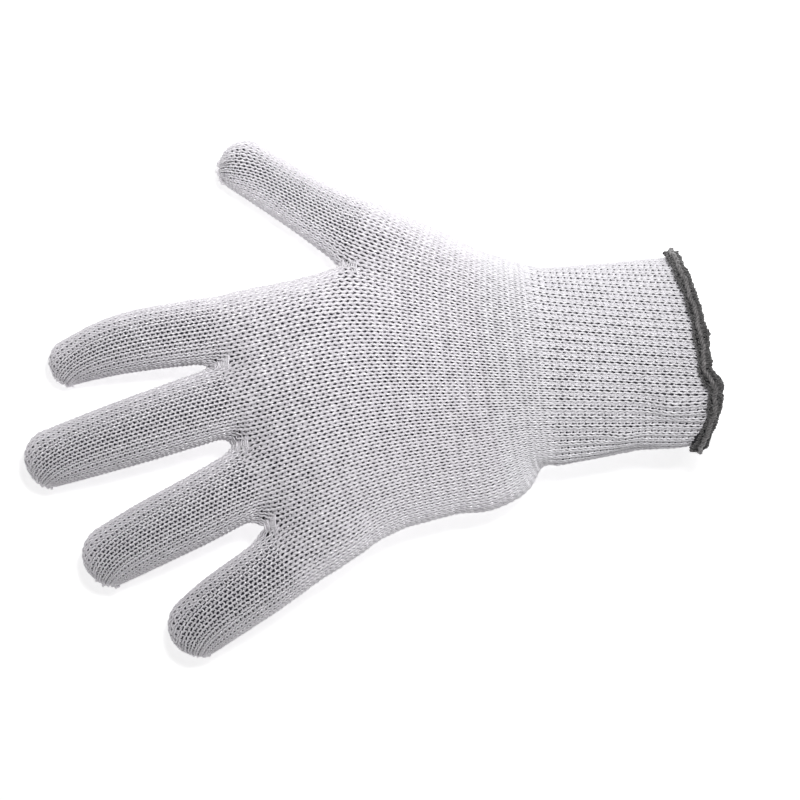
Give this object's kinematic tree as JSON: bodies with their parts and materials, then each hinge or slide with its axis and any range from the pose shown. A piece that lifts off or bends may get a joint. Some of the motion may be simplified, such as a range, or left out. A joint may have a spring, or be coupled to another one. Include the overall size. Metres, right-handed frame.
{
  "type": "cut resistant glove",
  "caption": "Seamless knitted cut resistant glove for a left hand, light grey, with a ribbed elastic cuff, a dark overlocked edge and fingers that bend.",
  "frame": {"origin": "centre of the wrist opening", "axes": "+X out of the opening along the wrist (the cuff's axis rises 8 degrees above it), fingers towards -X, thumb on the +Y side, +Z out of the back of the hand, palm down"},
  "size_m": [0.2515, 0.1733, 0.0549],
  "materials": {
    "knit_shell": "plain knit of light grey fibre, slightly shiny",
    "rib_knit": "rib knit of the same yarn",
    "closure_yarn": "linked yarn ends",
    "edge_binding": "overlocked dark textured yarn",
    "elastic_thread": "covered elastic thread"
  },
  "bodies": {
    "palm": {"palm": "knit_shell", "wrist_bend": "knit_shell", "knuckle_bend": "knit_shell", "thumb_base_bend": "knit_shell"},
    "cuff": {"cuff_rib": "rib_knit", "cuff_edge_binding": "edge_binding", "cuff_elastic_threads": "elastic_thread"},
    "finger_roots": {"finger_root_band": "knit_shell", "index_middle_bend": "knit_shell", "middle_middle_bend": "knit_shell", "ring_middle_bend": "knit_shell", "little_middle_bend": "knit_shell"},
    "index_middle_section": {"index_middle": "knit_shell", "index_tip_bend": "knit_shell"},
    "index_tip_section": {"index_tip": "knit_shell", "index_tip_closure": "closure_yarn"},
    "middle_middle_section": {"middle_middle": "knit_shell", "middle_tip_bend": "knit_shell"},
    "middle_tip_section": {"middle_tip": "knit_shell", "middle_tip_closure": "closure_yarn"},
    "ring_middle_section": {"ring_middle": "knit_shell", "ring_tip_bend": "knit_shell"},
    "ring_tip_section": {"ring_tip": "knit_shell", "ring_tip_closure": "closure_yarn"},
    "little_middle_section": {"little_middle": "knit_shell", "little_tip_bend": "knit_shell"},
    "little_tip_section": {"little_tip": "knit_shell", "little_tip_closure": "closure_yarn"},
    "thumb_base_section": {"thumb_base": "knit_shell", "thumb_tip_bend": "knit_shell"},
    "thumb_tip_section": {"thumb_tip": "knit_shell", "thumb_tip_closure": "closure_yarn"}
  },
  "joints": [
    {"name": "wrist_hinge", "type": "hinge", "parent": "palm", "child": "cuff", "pos_m": [-0.06, 0, -0.0084], "axis": [0, -1, 0], "range_deg": [-50, 50], "deforming": ["wrist_bend"]},
    {"name": "knuckle_hinge", "type": "hinge", "parent": "palm", "child": "finger_roots", "pos_m": [-0.136, 0, -0.0045], "axis": [0, -1, 0], "range_deg": [-22, 68], "deforming": ["knuckle_bend"]},
    {"name": "index_middle_hinge", "type": "hinge", "parent": "finger_roots", "child": "index_middle_section", "pos_m": [-0.17796, 0.03033, -0.0088], "axis": [-0.0218, -0.9998, 0], "range_deg": [-6, 78], "deforming": ["index_middle_bend"]},
    {"name": "index_tip_hinge", "type": "hinge", "parent": "index_middle_section", "child": "index_tip_section", "pos_m": [-0.20296, 0.03003, -0.01516], "axis": [-0.0218, -0.9998, 0], "range_deg": [-8, 50], "deforming": ["index_tip_bend"]},
    {"name": "middle_middle_hinge", "type": "hinge", "parent": "finger_roots", "child": "middle_middle_section", "pos_m": [-0.18898, 0.00116, -0.00855], "axis": [0.0872, -0.9962, 0], "range_deg": [-6, 78], "deforming": ["middle_middle_bend"]},
    {"name": "middle_tip_hinge", "type": "hinge", "parent": "middle_middle_section", "child": "middle_tip_section", "pos_m": [-0.21496, -0.00352, -0.01454], "axis": [0.0872, -0.9962, 0], "range_deg": [-8, 50], "deforming": ["middle_tip_bend"]},
    {"name": "ring_middle_hinge", "type": "hinge", "parent": "finger_roots", "child": "ring_middle_section", "pos_m": [-0.17595, -0.02921, -0.00847], "axis": [0.1968, -0.9804, 0], "range_deg": [-6, 78], "deforming": ["ring_middle_bend"]},
    {"name": "ring_tip_hinge", "type": "hinge", "parent": "ring_middle_section", "child": "ring_tip_section", "pos_m": [-0.20045, -0.0376, -0.01436], "axis": [0.1968, -0.9804, 0], "range_deg": [-8, 50], "deforming": ["ring_tip_bend"]},
    {"name": "little_middle_hinge", "type": "hinge", "parent": "finger_roots", "child": "little_middle_section", "pos_m": [-0.16193, -0.05799, -0.00843], "axis": [0.2521, -0.9677, 0], "range_deg": [-6, 78], "deforming": ["little_middle_bend"]},
    {"name": "little_tip_hinge", "type": "hinge", "parent": "little_middle_section", "child": "little_tip_section", "pos_m": [-0.17953, -0.06661, -0.01423], "axis": [0.2521, -0.9677, 0], "range_deg": [-8, 50], "deforming": ["little_tip_bend"]},
    {"name": "thumb_base_hinge", "type": "hinge", "parent": "palm", "child": "thumb_base_section", "pos_m": [-0.11821, 0.05806, -0.0191], "axis": [-0.3895, -0.5113, 0.766], "range_deg": [-12, 30], "deforming": ["thumb_base_bend"]},
    {"name": "thumb_tip_hinge", "type": "hinge", "parent": "thumb_base_section", "child": "thumb_tip_section", "pos_m": [-0.13396, 0.07006, -0.0208], "axis": [-0.3895, -0.5113, 0.766], "range_deg": [-12, 50], "deforming": ["thumb_tip_bend"]}
  ]
}
